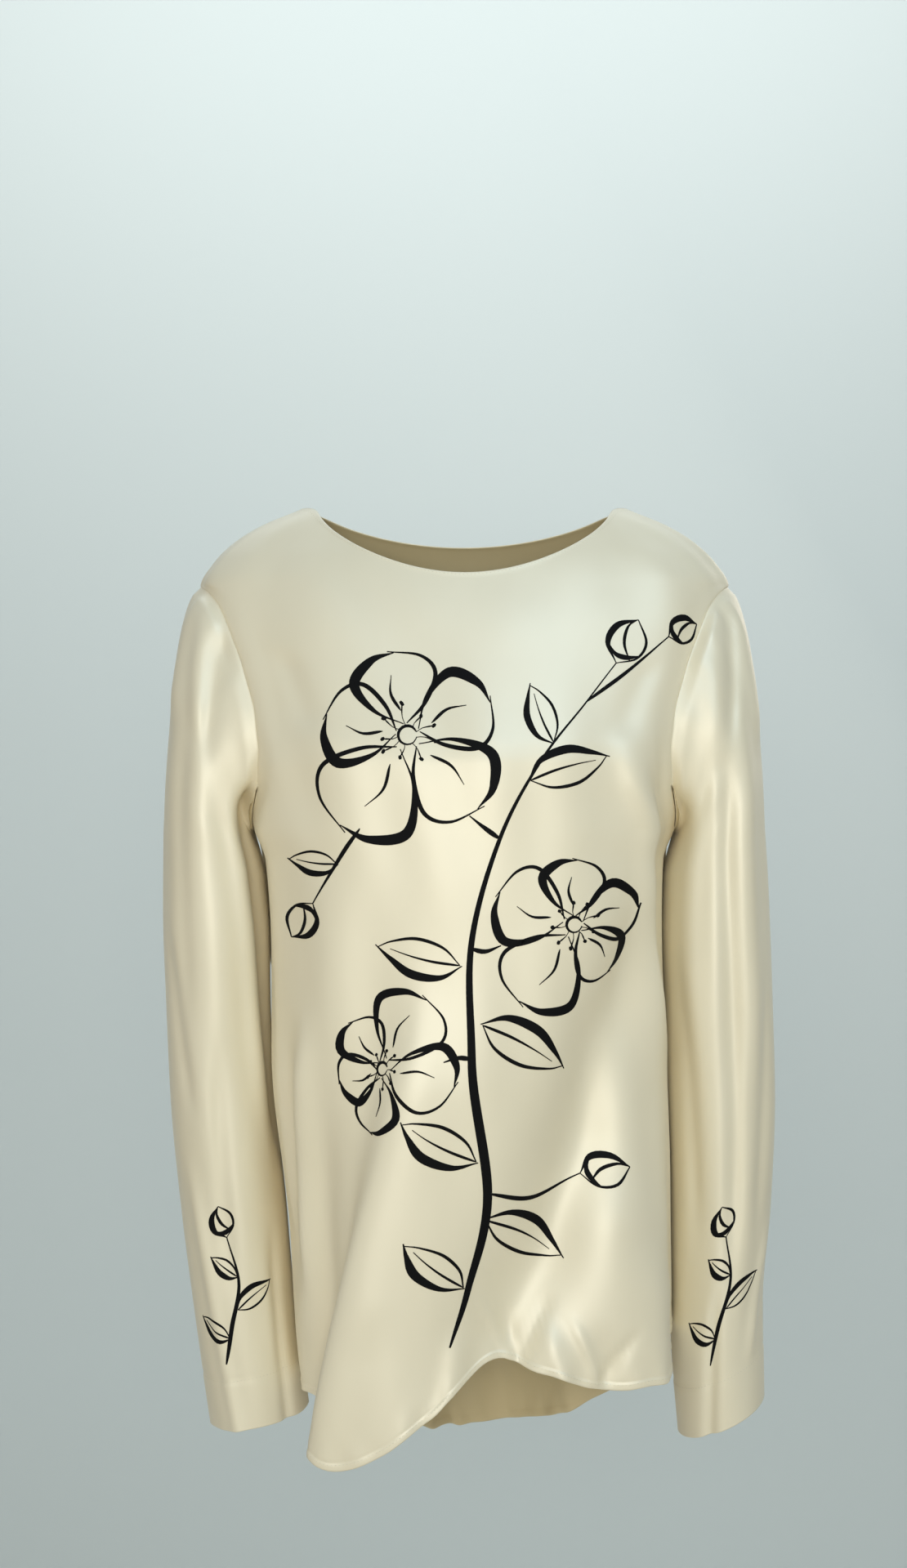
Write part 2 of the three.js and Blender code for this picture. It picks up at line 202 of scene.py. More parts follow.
SECTION_COLUMNS = "z inner outer front back"
SLEEVES = {
    "sleeve_left": {
        "sign": 1,
        "end_tilt": 15,
        "sections": table(SECTION_COLUMNS, [
            [-256, 150, 225, 69, 64],
            [-300, 148.6, 228, 67, 61],
            [-365, 150.4, 231, 64, 57],
            [-443, 153.4, 233, 59, 51],
            [-520, 155.5, 230, 54, 46],
            [-600, 155.5, 224, 50, 40],
            [-677, 161, 225, 47, 36],
        ]),
        "folds": table(FOLD_COLUMNS, [
            [24, -62, 34, -190, 11, 11, 5, 5, 0, 1, 0],
            [20, -58, 82, -185, 6, 9, -4.6, -4.6, 0, 1, 0],
            [34, -60, 98, -200, 7, 10, 4.4, 4, 0, 1, 0],
            [88, -130, 84, -640, 10, 11, -5.5, -5, 0, 1, 0],
            [60, -110, 62, -460, 13, 13, 4, 4, 0, 1, 0],
            [124, -130, 132, -430, 12, 12, 4, 4, 0, 1, 0],
            [150, -110, 148, -250, 10, 10, -5, -5, 0, 1, 0],
            [138, -330, 128, -560, 9, 10, -3, -3, 0, 1, 0],
            [40, -330, 56, -560, 9, 10, -2.6, -2.6, 0, 1, 0],
            [28, -520, 60, -640, 8, 8, 3, 3, 0, 1, 0],
            [96, -560, 120, -720, 7, 8, -3, -3.6, 0, 1, 1],
            [250, -90, 262, -420, 12, 12, -6, -6, 0, 1, 0],
            [296, -130, 286, -480, 13, 13, 4, 4, 0, 1, 0],
            [334, -62, 318, -200, 6, 7, 5, 4, 0, 1, 0],
            [346, -60, 330, -200, 5, 6, -4, -4, 0, 1, 0],
            [232, -380, 246, -600, 8, 8, 3.4, 3.4, 0, 1, 0],
            [276, -480, 262, -700, 7, 8, -4, -4, 0, 1, 1],
            [306, -420, 300, -640, 6, 6, -3, -3, 0, 1, 0],
        ]),
    },
    "sleeve_right": {
        "sign": -1,
        "end_tilt": -6,
        "sections": table(SECTION_COLUMNS, [
            [-256, 150, 225, 69, 64],
            [-310, 146.3, 225.5, 68, 61],
            [-365, 145.8, 223.5, 65, 57],
            [-443, 142, 220, 60, 51],
            [-520, 134, 212.5, 54, 46],
            [-600, 127, 202, 50, 40],
            [-677, 117, 190.5, 47, 36],
        ]),
        "folds": table(FOLD_COLUMNS, [
            [22, -62, 30, -170, 11, 11, 5, 5, 0, 1, 0],
            [28, -60, 76, -180, 7, 9, 4.4, 4, 0, 1, 0],
            [44, -62, 92, -200, 6, 8, -5, -4, 0, 1, 0],
            [58, -150, 66, -400, 11, 11, -2.6, -2.6, 0, 1, 0],
            [118, -120, 152, -520, 11, 11, 6, 6, 0, 1, 0],
            [126, -76, 142, -270, 9, 9, -9, -9, 0, 1, 0],
            [136, -90, 174, -500, 11, 11, -12, -12, 0, 1, 0],
            [36, -300, 66, -460, 9, 9, -2.6, -2.6, 0, 1, 0],
            [98, -380, 84, -600, 10, 10, -2.8, -2.8, 0, 1, 0],
            [52, -470, 74, -700, 8, 8, 3, 3, 0, 1, 1],
            [142, -520, 130, -700, 7, 7, -3, -4, 0, 1, 1],
            [248, -100, 258, -460, 12, 12, -6, -6, 0, 1, 0],
            [300, -150, 290, -520, 14, 14, 4, 4, 0, 1, 0],
            [330, -62, 316, -200, 6, 7, 5, 4, 0, 1, 0],
            [342, -60, 328, -200, 5, 6, -4, -4, 0, 1, 0],
            [228, -300, 240, -560, 8, 8, 3.4, 3.4, 0, 1, 0],
            [272, -460, 280, -700, 7, 8, -4, -4, 0, 1, 1],
        ]),
    },
}

# ------------------------------ small helpers


def mix(low, high, t):
    """From low at t = 0 to high at t = 1."""
    return low + (high - low) * t


def smooth(t):
    """A soft step from 0 at t = 0 to 1 at t = 1, level beyond them."""
    t = np.clip(t, 0, 1)
    return t * t * (3 - 2 * t)


def near(distance, width):
    """1 on a line, dying away to almost nothing two widths from it."""
    return np.exp(-(distance / width) ** 2)


def curve(rows, along, value):
    """A smooth curve through two columns of a table that never overshoots its rows."""
    order = np.argsort(rows[along])
    x, y = rows[along][order], rows[value][order]
    chord = np.diff(y) / np.diff(x)
    before, after = chord[:-1], chord[1:]
    same_way = before * after > 0
    total = np.where(same_way, before + after, 1)
    inside = np.where(same_way, 2 * before * after / total, 0)
    slope = np.concatenate([[chord[0]], inside, [chord[-1]]])

    def at(where):
        where = np.clip(where, x[0], x[-1])
        i = np.clip(np.searchsorted(x, where, side="right") - 1, 0, len(x) - 2)
        span = x[i + 1] - x[i]
        t = (where - x[i]) / span
        bend = t * (1 - t) * ((1 - t) * (slope[i] - chord[i]) - t * (slope[i + 1] - chord[i])) * span
        return mix(y[i], y[i + 1], t) + bend

    return at


def curves(rows, along="z"):
    return {name: curve(rows, along, name) for name in rows if name != along}


def turn_between(start, end):
    """Degrees from one direction round to another, between -180 and 180."""
    return (end - start + 180) % 360 - 180


def fold_moves(folds, turn, z):
    """How far all the folds together move each place out, and how far round."""
    out = np.zeros(np.broadcast(turn, z).shape)
    round_by = np.zeros_like(out)
    for i in range(len(folds["z0"])):
        fold = {name: column[i] for name, column in folds.items()}
        down = (fold["z0"] - z) / (fold["z0"] - fold["z1"])
        away = turn_between(mix(fold["turn0"], fold["turn1"], down), turn)
        width = mix(fold["width0"], fold["width1"], down) * np.where(away < 0, fold["steep"], 1)
        ends = smooth(down / FOLD_FADE)
        if not fold["open"]:
            ends = ends * smooth((1 - down) / FOLD_FADE)
        share = ends * near(away, width) * (down > 0)
        out += share * mix(fold["depth0"], fold["depth1"], down)
        round_by += share * fold["lean"] * smooth(down)
    return out, round_by


MEANDER = 1.3               # how much the crests of the waves below wander, in radians


def waves(u, v, seed, count, lengths, stretch):
    """Soft uneven swells: a sum of count sine waves, their crests mostly along v.
    lengths are the shortest and the longest of them in u."""
    rng = np.random.default_rng(seed)
    total = np.zeros(np.broadcast(u, v).shape)
    for _ in range(count):
        length = rng.uniform(*lengths)
        lean = rng.uniform(-1, 1) / stretch
        phase = rng.uniform(0, 2 * math.pi)
        meander = MEANDER * np.sin(v / (length * stretch))
        total += np.sin(2 * math.pi * (u + lean * v) / length + phase + meander)
    return total / math.sqrt(count)


# ------------------------------ the torso's surface

ARC = math.pi / 180 * 140   # about how many mm round the torso one degree is
torso = curves(TORSO)
armhole = curves(ARMHOLE)
hem_height = curve(HEM, "turn", "z")


def torso_points(turn, z, folds=ALL_FOLDS):
    """Points of the torso cloth, the level outward direction at each, and its place round
    the torso in mm. turn runs 0 front, 90 +X side, 180 back, 270 -X side."""
    angle = np.radians(turn)
    across, along = np.sin(angle), np.cos(angle)
    on_front = along >= 0
    half = np.where(across < 0, torso["left"](z), torso["right"](z))
    depth = np.where(on_front, torso["front"](z), torso["back"](z))
    power = torso["power"](z)
    reach = (np.abs(across) ** power + np.abs(along) ** power) ** (-1 / power)
    inset = np.where(on_front, armhole["front"](z), armhole["back"](z))
    u = across * reach * (1 - inset / half)
    v = np.sign(along) * np.maximum(0, 1 - np.abs(u) ** power) ** (1 / power)
    out_x = np.sign(u) * np.abs(u) ** (power - 1) / half
    out_y = -np.sign(v) * np.abs(v) ** (power - 1) / depth
    length = np.hypot(out_x, out_y)
    out = np.stack([out_x / length, out_y / length, np.zeros_like(out_x)], -1)
    sideways = np.stack([-out[..., 1], out[..., 0], out[..., 2]], -1)
    point = np.stack([u * half, -v * depth, z + 0 * u], -1)
    move_out, move_round = fold_moves(folds, turn, z)
    around = np.degrees(np.arctan2(u, v)) * ARC
    return point + out * move_out[..., None] + sideways * move_round[..., None], out, around


def with_edges(start, end, step, edges):
    """Positions from start to end about step apart, closer together near both ends."""
    inner = np.linspace(start + edges[-1], end - edges[-1], max(2, round((end - start) / step)))
    return np.concatenate([start + np.array(edges[:-1]), inner, end - np.array(edges[:-1])[::-1]])


def column_heights(turn, body_rows, upper_rows):
    """Heights down one column, from the neckline past shoulder tip and underarm to the hem.
    upper_rows are heights at the seams between neck and underarm, body_rows parts of the rest."""
    on_front = np.cos(np.radians(turn)) >= 0
    neckline = FRONT_NECK if on_front else BACK_NECK
    neck = -neckline["drop"] * abs(math.cos(math.radians(turn))) ** neckline["power"]
    upper = mix(neck, UNDERARM, upper_rows / UNDERARM)
    bottom = hem_height(turn - 360 if turn > 270 else turn)
    return np.concatenate([upper, mix(UNDERARM, bottom, body_rows[1:])])


# ------------------------------ shells


def grid_normals(points, wraps):
    """Outward unit normals of a grid whose columns run to the right and rows down, seen from outside."""
    if wraps:
        right = np.roll(points, -1, 1) - np.roll(points, 1, 1)
    else:
        right = np.gradient(points, axis=1)
    down = np.gradient(points, axis=0)
    normal = np.cross(down, right)
    return normal / np.maximum(np.linalg.norm(normal, axis=-1, keepdims=True), 1e-9)


def shell(name, points, normals, thickness, flat_uv, wraps=False, flipped=False):
    """A closed thin wall: the outer grid, the same grid moved in by its thickness, and the rims."""
    rows, columns = points.shape[:2]
    inner = points - normals * thickness[..., None]
    vertices = np.concatenate([points.reshape(-1, 3), inner.reshape(-1, 3)]) * MM
    index = np.arange(rows * columns).reshape(rows, columns)
    if wraps:
        index = np.concatenate([index, index[:, :1]], 1)
    a, b, c, d = index[:-1, :-1], index[1:, :-1], index[1:, 1:], index[:-1, 1:]
    lower = rows * columns
    outside = np.stack([a, b, c, d], -1).reshape(-1, 4)
    inside = np.stack([d, c, b, a], -1).reshape(-1, 4) + lower

    def rim(edge):
        return np.stack([edge[:-1], edge[1:], edge[1:] + lower, edge[:-1] + lower], -1)

    rims = [rim(index[0]), rim(index[-1][::-1])]
    if not wraps:
        rims += [rim(index[::-1, 0]), rim(index[:, -1])]
    rims = np.concatenate(rims)
    faces = np.concatenate([outside, inside, rims])
    if flipped:
        faces = faces[:, ::-1]

    mesh = bpy.data.meshes.new(name)
    mesh.from_pydata(vertices.tolist(), [], faces.tolist())
    mesh.polygons.foreach_set("use_smooth", [True] * len(faces))
    slot_of_face = np.concatenate([np.zeros(len(outside)), np.ones(len(inside)), np.zeros(len(rims))])
    mesh.polygons.foreach_set("material_index", slot_of_face.astype(int))
    layer = mesh.uv_layers.new(name="cloth")
    uv = np.concatenate([flat_uv.reshape(-1, 2)] * 2)
    corners = np.empty(len(mesh.loops), int)
    mesh.loops.foreach_get("vertex_index", corners)
    layer.data.foreach_set("uv", (uv[corners] * MM).ravel())
    mesh.update()
    piece = bpy.data.objects.new(name, mesh)
    bpy.context.collection.objects.link(piece)
    return piece


def distance_along(points, axis):
    """Distance of each grid point from the grid's first row or column, over the cloth."""
    steps = np.linalg.norm(np.diff(points, axis=axis), axis=-1)
    start = np.zeros_like(np.take(steps, [0], axis=axis))
    return np.concatenate([start, np.cumsum(steps, axis=axis)], axis=axis)


def joined(name, vertices, faces, material):
    """One piece from lists of arrays of vertices, in mm, and of faces."""
    mesh = bpy.data.meshes.new(name)
    mesh.from_pydata((np.concatenate(vertices) * MM).tolist(), [], np.concatenate(faces).tolist())
    mesh.materials.append(material)
    mesh.update()
    piece = bpy.data.objects.new(name, mesh)
    bpy.context.collection.objects.link(piece)
    return piece


GRIDS = {}                                  # each piece's finished outer grid, for what lies on it
GRID_STEP = 3.0             # usual distance between rows and between columns
SEAM_EDGES = [0, 0.9, 1.9, 3.2, 5.2]  # distances of the extra columns beside a seam
NECK_EDGES = [0, 0.8, 1.8, 3.4]  # of the extra rows at the neckline and the underarm
HEM_EDGES = [0, 0.7, 1.5, 2.6, 4.0, 5.0, 5.8, 6.8, 8.6]
CUFF_EDGES = [0, 0.6, 1.4, 2.6, 5.0]
HEM_CLEAR = 1.3             # space above the hem's rows, as a multiple of their reach
BODY_LENGTH = 410           # about how far it is from the underarm to the hem
SLEEVE_COLUMNS = 118
HEAD_STARTS = [0, 0.012, 0.03, 0.06, 0.1]  # where the sleeve head's first rows lie, in rings
HEAD_EVEN = 0.15            # where its even rows begin
HEAD_ROWS = 62              # how many of them there are

# Uneven swells of the cloth: how high they are, and how far from a seam or an edge they fade.
PANEL_SWELL = 1.1
PANEL_CALM_NECK = 60
PANEL_CALM_SEAM = 25
HEM_PUCKER = 0.75
HEM_PUCKER_REACH = 18
HEM_WOBBLE = 0.9            # how far the hem's edge wanders up and down
HEM_WOBBLE_REACH = 40
HEM_CALM_SEAM = 12
SLEEVE_SWELL = 0.9
SLEEVE_CALM_HEAD = 70
UNDERSIDE_CALM = 0.85       # how much calmer the sleeve is along its under side
UNDERSIDE_WIDTH = 32        # half breadth of that side in degrees
SEAM_FADE_POWER = 8         # how quickly the swell fades at the sleeve's turn 0
GATHERS = 0.8
GATHERS_REACH = 24
HEAD_ARC = 1.1              # about how many mm round the sleeve head one degree is
HEAD_SETTLES = 11           # how far from the armhole the sleeve's folds are whole
EASE = 2.4                  # fullness of the sleeve head
EASE_STARTS = 12
EASE_REACH = 42

# How far the outside rises or sinks, and how much thicker the cloth is, at seams and edges.
SEAM_SINK = 0.4
SLEEVE_SEAM_SINK = 0.35
SEAM_WIDTH = 1.7
TURNINGS = 2.2              # the folded cloth inside a seam
TURNINGS_WIDTH = 1.4
HEM_SOFT = 0.9              # breadth of the rounded lower edge of the rolled hem
HEM_RISE = 0.42
HEM_BULK = 0.85
GROOVE_SINK = 0.22          # the groove above the rolled hem
GROOVE_AWAY = 0.4
GROOVE_WIDTH = 0.6
NECK_RIM = 2.2              # breadth of the neckline's turned edge
NECK_RISE = 0.35
NECK_BULK = 0.6
CUFF_SOFT = 1.2
CUFF_RISE = 0.25
CUFF_BULK = 0.35
CUFF_LINE_SINK = 0.4        # the line that holds the sleeve's turn-up
CUFF_LINE_WIDTH = 1.1
END_RIM = 1.6               # breadth of the rim at the sleeve end
END_RIM_BULK = 0.3


def panel(name, start, end, side):
    """Front or back: side is -1 for the front and 1 for the back."""
    turns = with_edges(start * ARC, end * ARC, GRID_STEP, SEAM_EDGES) / ARC
    turns = np.clip(turns, start + HAIR, end - HAIR)
    upper = with_edges(0, -UNDERARM, GRID_STEP, NECK_EDGES)
    upper = -np.unique(np.round(np.concatenate([upper, -ARMHOLE["z"][[0, -1]]]), 6))
    body = np.linspace(0, 1, round(BODY_LENGTH / GRID_STEP))
    hem_rows = 1 - np.array(HEM_EDGES[::-1]) / BODY_LENGTH
    body = np.concatenate([body[body < 1 - HEM_CLEAR * HEM_EDGES[-1] / BODY_LENGTH], hem_rows])
    heights = np.stack([column_heights(turn, body, upper) for turn in turns], 1)
    points, out, around = torso_points(np.broadcast_to(turns, heights.shape), heights)
    around = around % (360 * ARC) if side > 0 else around

    normals = grid_normals(points, False)
    across = distance_along(points, 1)
    from_seam = np.minimum(across, across[:, -1:] - across)
    from_neck = distance_along(points, 0)
    from_hem = from_neck[-1:] - from_neck

    # rows and columns on the closed seams share the level outward direction on both panels
    seam_rows = (heights[:, 0] > SHOULDER_TIP - HAIR) | (heights[:, 0] < UNDERARM + HAIR)
    for column in (0, -1):
        level = normals[:, column].copy()
        level[:, 1] = 0
        level /= np.linalg.norm(level, axis=-1, keepdims=True)
        normals[seam_rows, column] = level[seam_rows]

    swell = PANEL_SWELL * waves(around, heights, seed=11 + side, count=9, lengths=(38, 95), stretch=3.2)
    calm = smooth(from_neck / PANEL_CALM_NECK) * smooth(from_seam / PANEL_CALM_SEAM)
    pucker = HEM_PUCKER * waves(around, heights, seed=23 + side, count=7, lengths=(9, 26), stretch=2.0)
    pucker = pucker * near(from_hem, HEM_PUCKER_REACH)
    off_seam = smooth(from_seam / HEM_CALM_SEAM)
    points = points + out * (swell * calm + pucker * off_seam)[..., None]
    wobble = waves(around, 0 * heights, seed=31 + side, count=6, lengths=(16, 60), stretch=1.0)
    wobble = wobble * near(from_hem, HEM_WOBBLE_REACH)
    points[..., 2] += HEM_WOBBLE * wobble * off_seam
    normals[:, 1:-1] = grid_normals(points, False)[:, 1:-1]

    rolled = smooth(from_hem / HEM_SOFT) * smooth(HEM_TURN - from_hem)
    groove = near(from_hem - HEM_TURN - GROOVE_AWAY, GROOVE_WIDTH)
    seam_dip = near(from_seam, SEAM_WIDTH)
    neck_rim = smooth(NECK_RIM - from_neck)
    relief = HEM_RISE * rolled - GROOVE_SINK * groove - SEAM_SINK * seam_dip + NECK_RISE * neck_rim
    points = points + normals * relief[..., None]
    turnings = TURNINGS * near(from_seam, TURNINGS_WIDTH)
    thickness = CLOTH + HEM_BULK * rolled + NECK_BULK * neck_rim + turnings
    points[..., 1] += side * SEAM_SPACE / 2
    uv = np.stack([around, -from_neck], -1)
    GRIDS[name] = {"points": points, "normals": normals, "turns": turns, "heights": heights}
    return shell(name, points, normals, thickness, uv)


def oval_points(ring, sign, turn):
    """Points of ovals that lean from their under point to their outer point."""
    angle = np.radians(turn)
    share = (1 + np.cos(angle)) / 2
    x = mix(ring["underX"], ring["outerX"], share)
    z = mix(ring["underZ"], ring["outerZ"], share)
    y = -np.where(np.sin(angle) >= 0, ring["front"], ring["back"]) * np.sin(angle)
    return np.stack(np.broadcast_arrays(sign * x, y, z), -1)


def sleeve(name, sign, end_tilt, sections, folds):
    """One sleeve: sign is 1 on the +X side and -1 on the other."""
    turns = np.linspace(0, 360, SLEEVE_COLUMNS, endpoint=False)
    over = np.cos(np.radians(turns))        # 1 along the top of the sleeve, -1 beneath
    middle, reach = (SHOULDER_TIP + UNDERARM) / 2, (SHOULDER_TIP - UNDERARM) / 2
    hair = np.where(turns <= 180, -sign, sign) * HAIR
    edge, _, _ = torso_points(90.0 * sign + hair, middle + reach * over)

    head = curves(SLEEVE_HEAD, "ring")
    first = {key: head[key](0.0) for key in head}
    own = oval_points(first, sign, turns)
    last_ring = SLEEVE_HEAD["ring"][-1]
    positions = np.concatenate([HEAD_STARTS, np.linspace(HEAD_EVEN, last_ring, HEAD_ROWS)])
    grids = []
    for position in positions:
        ring = {key: head[key](position) for key in head}
        grids.append(oval_points(ring, sign, turns) + (edge - own) * ring["armhole"])

    section = curves(sections)
    top, end = sections["z"].max(), sections["z"].min()
    head_tilt = (head["outerZ"](last_ring) - head["underZ"](last_ring)) / 2
    length = top - end
    hanging = np.arange(GRID_STEP, length - HEM_EDGES[-1], GRID_STEP) / length
    hanging = np.concatenate([hanging, 1 - np.array(CUFF_EDGES[::-1]) / length])
    for down in hanging:
        z = mix(top, end, down)
        from_head = 1 - smooth(down / HEAD_TILT_ENDS)
        to_end = smooth((down - END_TILT_STARTS) / (1 - END_TILT_STARTS))
        tilt = head_tilt * from_head + end_tilt * to_end
        ring = {"outerX": section["outer"](z), "outerZ": z + tilt, "underX": section["inner"](z),
                "underZ": z - tilt, "front": section["front"](z), "back": section["back"](z)}
        grids.append(oval_points(ring, sign, turns))
    points = np.stack(grids)

    centre = points.mean(1, keepdims=True)
    out = points - centre
    out /= np.linalg.norm(out, axis=-1, keepdims=True)
    z = points[..., 2]
    move_out, _ = fold_moves(folds, turns, z)
    down = distance_along(points, 0)
    from_end = down[-1:] - down
    around = distance_along(points, 1)
    swell = SLEEVE_SWELL * waves(around, z, seed=41 + sign, count=9, lengths=(34, 80), stretch=2.6)
    at_start = np.cos(np.radians(turns / 2)) ** 2       # 1 at turn 0, where the swell's ends meet
    swell = swell * (1 - at_start ** SEAM_FADE_POWER)
    swell = swell * (1 - UNDERSIDE_CALM * near(turns - 180, UNDERSIDE_WIDTH))
    gathers = waves(turns * HEAD_ARC, 0 * down, seed=57 + sign, count=6, lengths=(11, 26), stretch=1.0)
    gathers = GATHERS * gathers * near(down, GATHERS_REACH) * smooth(over + 0.6)
    ease = EASE * smooth(down / EASE_STARTS) * near(down, EASE_REACH) * smooth(over + 0.9)
    folded = move_out + gathers + swell * smooth(down / SLEEVE_CALM_HEAD)
    points = points + out * (smooth(down / HEAD_SETTLES) * folded + ease)[..., None]

    fall = -TIP_SLOPE * np.maximum(0, over)
    away = np.stack([np.full_like(fall, sign), np.zeros_like(fall), fall], -1)
    away /= np.linalg.norm(away, axis=-1, keepdims=True)
    points[0] += away * SEAM_SPACE

    flip = sign > 0
    normals = grid_normals(points, True) * (-1 if flip else 1)
    turned = smooth((CUFF_TURN - from_end) / CUFF_SOFT)
    cuff_line = near(from_end - CUFF_TURN, CUFF_LINE_WIDTH)
    end_rim = smooth(END_RIM - from_end)
    seam_dip = near(down, SEAM_WIDTH)
    relief = CUFF_RISE * turned - CUFF_LINE_SINK * cuff_line - SLEEVE_SEAM_SINK * seam_dip
    points = points + normals * relief[..., None]
    turnings = TURNINGS * near(down, TURNINGS_WIDTH)
    thickness = CLOTH + CUFF_BULK * turned + END_RIM_BULK * end_rim + turnings
    uv = np.stack([around, -down], -1)
    GRIDS[name] = {"points": points, "normals": normals, "turns": turns, "heights": from_end}
    return shell(name, points, normals, thickness, uv, wraps=True, flipped=flip)


# ------------------------------ materials


THREADS = (3200, 900, 1)    # warp and weft threads to a metre, as noise cells
MOTTLE = (26, 9, 1)         # the same for slow changes of shade
GLOSS_VARIES = 0.08         # how far the threads change the roughness either way


def new_material(name):
    """A material, its nodes and links, and its surface."""
    material = bpy.data.materials.new(name)
    material.use_nodes = True
    nodes, links = material.node_tree.nodes, material.node_tree.links
    return material, nodes, links, nodes["Principled BSDF"]


def two_shades(nodes, links, surface, factor, low, high):
    """Colour the surface from low to high by another node's output."""
    shade = nodes.new("ShaderNodeMix")
    shade.data_type = "RGBA"
    shade.inputs["A"].default_value = (*low, 1)
    shade.inputs["B"].default_value = (*high, 1)
    links.new(factor, shade.inputs["Factor"])
    links.new(shade.outputs["Result"], surface.inputs["Base Color"])


def grainy(name, scale, low, high, roughness):
    """A plain material whose fine grain lies between two shades."""
    material, nodes, links, surface = new_material(name)
    surface.inputs["Roughness"].default_value = roughness
    grain = nodes.new("ShaderNodeTexNoise")
    grain.inputs["Scale"].default_value = scale
    two_shades(nodes, links, surface, grain.outputs["Fac"], low, high)
    return material


def satin(name, colour, shade, roughness, ior):
    """Cream satin: a slow drift between two shades, fine threads and a soft untinted gloss."""
    material, nodes, links, surface = new_material(name)
    surface.inputs["Metallic"].default_value = 0.05
    surface.inputs["IOR"].default_value = ior
    surface.inputs["Sheen Weight"].default_value = 0.08
    surface.inputs["Sheen Roughness"].default_value = 0.4
    uv = nodes.new("ShaderNodeUVMap")
    uv.uv_map = "cloth"

    def noise(scale, detail):
        stretch = nodes.new("ShaderNodeMapping")
        stretch.inputs["Scale"].default_value = scale
        links.new(uv.outputs["UV"], stretch.inputs["Vector"])
        texture = nodes.new("ShaderNodeTexNoise")
        texture.inputs["Scale"].default_value = 1.0
        texture.inputs["Detail"].default_value = detail
        links.new(stretch.outputs["Vector"], texture.inputs["Vector"])
        return texture.outputs["Fac"]

    threads, mottle = noise(THREADS, 2.0), noise(MOTTLE, 3.0)
    two_shades(nodes, links, surface, mottle, shade, colour)
    gloss = nodes.new("ShaderNodeMapRange")
    gloss.inputs["To Min"].default_value = roughness - GLOSS_VARIES
    gloss.inputs["To Max"].default_value = roughness + GLOSS_VARIES
    links.new(threads, gloss.inputs["Value"])
    links.new(gloss.outputs["Result"], surface.inputs["Roughness"])
    bump = nodes.new("ShaderNodeBump")
    bump.inputs["Strength"].default_value = 0.2
    bump.inputs["Distance"].default_value = 0.0002
    links.new(threads, bump.inputs["Height"])
    links.new(bump.outputs["Normal"], surface.inputs["Normal"])
    return material


face_satin = satin("satin_face", (0.87, 0.785, 0.585), (0.80, 0.71, 0.51), 0.50, 2.2)
# The cloth's inner faces: rougher, as satin's reverse side is, and a darker, browner colour that is painted
# shade for the hollow's inside.
shaded_inside_satin = satin("satin_inside_shaded", (0.64, 0.54, 0.33), (0.60, 0.50, 0.29), 0.62, 1.6)


# ------------------------------ the drawn design
# Open flowers, buds and leaves on long stems, drawn as brush strokes. A stroke is a smooth line
# through a few points, in mm on the flat cloth: x to the right and z up on the front.

INK_UP, INK_DOWN = 0.2, 0.15  # how far the ink stands above the cloth and reaches into it
INK_STEP = 2.4              # length of one step along a stroke
BRUSH_SWELL = 1.4           # how suddenly a stroke thickens towards its peak
STAMENS = 9
SPRIG_TURN = 90             # where round the sleeve its sprig is drawn
SPRIG_RADIUS = 42.0         # about the sleeve's radius there
DRAWN_TO = 0.995            # how near a side seam a stroke may come, 1 being the seam
draw = np.random.default_rng(7)


def smooth_line(points, step=INK_STEP):
    """Points about step apart on a Catmull-Rom curve."""
    points = np.array(points, float)
    ends = np.concatenate([[2 * points[0] - points[1]], points, [2 * points[-1] - points[-2]]])
    pieces = []
    for a, b, c, d in zip(ends, ends[1:], ends[2:], ends[3:]):
        count = max(2, round(np.linalg.norm(c - b) / step))
        t = np.linspace(0, 1, count, endpoint=False)[:, None]
        pieces.append(0.5 * (2 * b + (c - a) * t + (2 * a - 5 * b + 4 * c - d) * t**2
                             + (3 * b - a - 3 * c + d) * t**3))
    return np.concatenate(pieces + [points[-1:]])


def stroke(points, thick, thin=0.7, peak=0.55):
    """A brush line: thin at its ends and thickest at peak, a part of its length."""
    return {"points": points, "thick": thick, "thin": thin, "peak": peak}


def place(shape, centre, angle, scale=1.0, squash=1.0):
    """A shape drawn along +x, scaled, squashed across, turned by angle degrees and moved."""
    a = math.radians(angle)
    shape = np.array(shape, float) * (scale, scale * squash)
    turned = np.stack([shape[:, 0] * math.cos(a) - shape[:, 1] * math.sin(a),
                       shape[:, 0] * math.sin(a) + shape[:, 1] * math.cos(a)], -1)
    return turned + centre


def petal(centre, angle, length, breadth, bold):
    """One petal: a bold edge, a light edge and a fold line."""
    start = 0.14
    bold_edge = [(start, 0.02), (0.36, 0.34), (0.72, 0.52), (0.96, 0.26), (1.0, -0.04)]
    light_edge = [(start, -0.02), (0.34, -0.30), (0.66, -0.50), (0.90, -0.36), (1.03, 0.04)]
    crease = [(0.30, 0.02), (0.52, 0.10), (0.74, 0.05)]
    squash = breadth / length
    return [
        stroke(place(bold_edge, centre, angle, length, squash), bold, peak=0.62),
        stroke(place(light_edge, centre, angle, length, squash), bold * 0.42, peak=0.4),
        stroke(place(crease, centre, angle, length, squash), bold * 0.3, thin=0.5, peak=0.3),
    ]


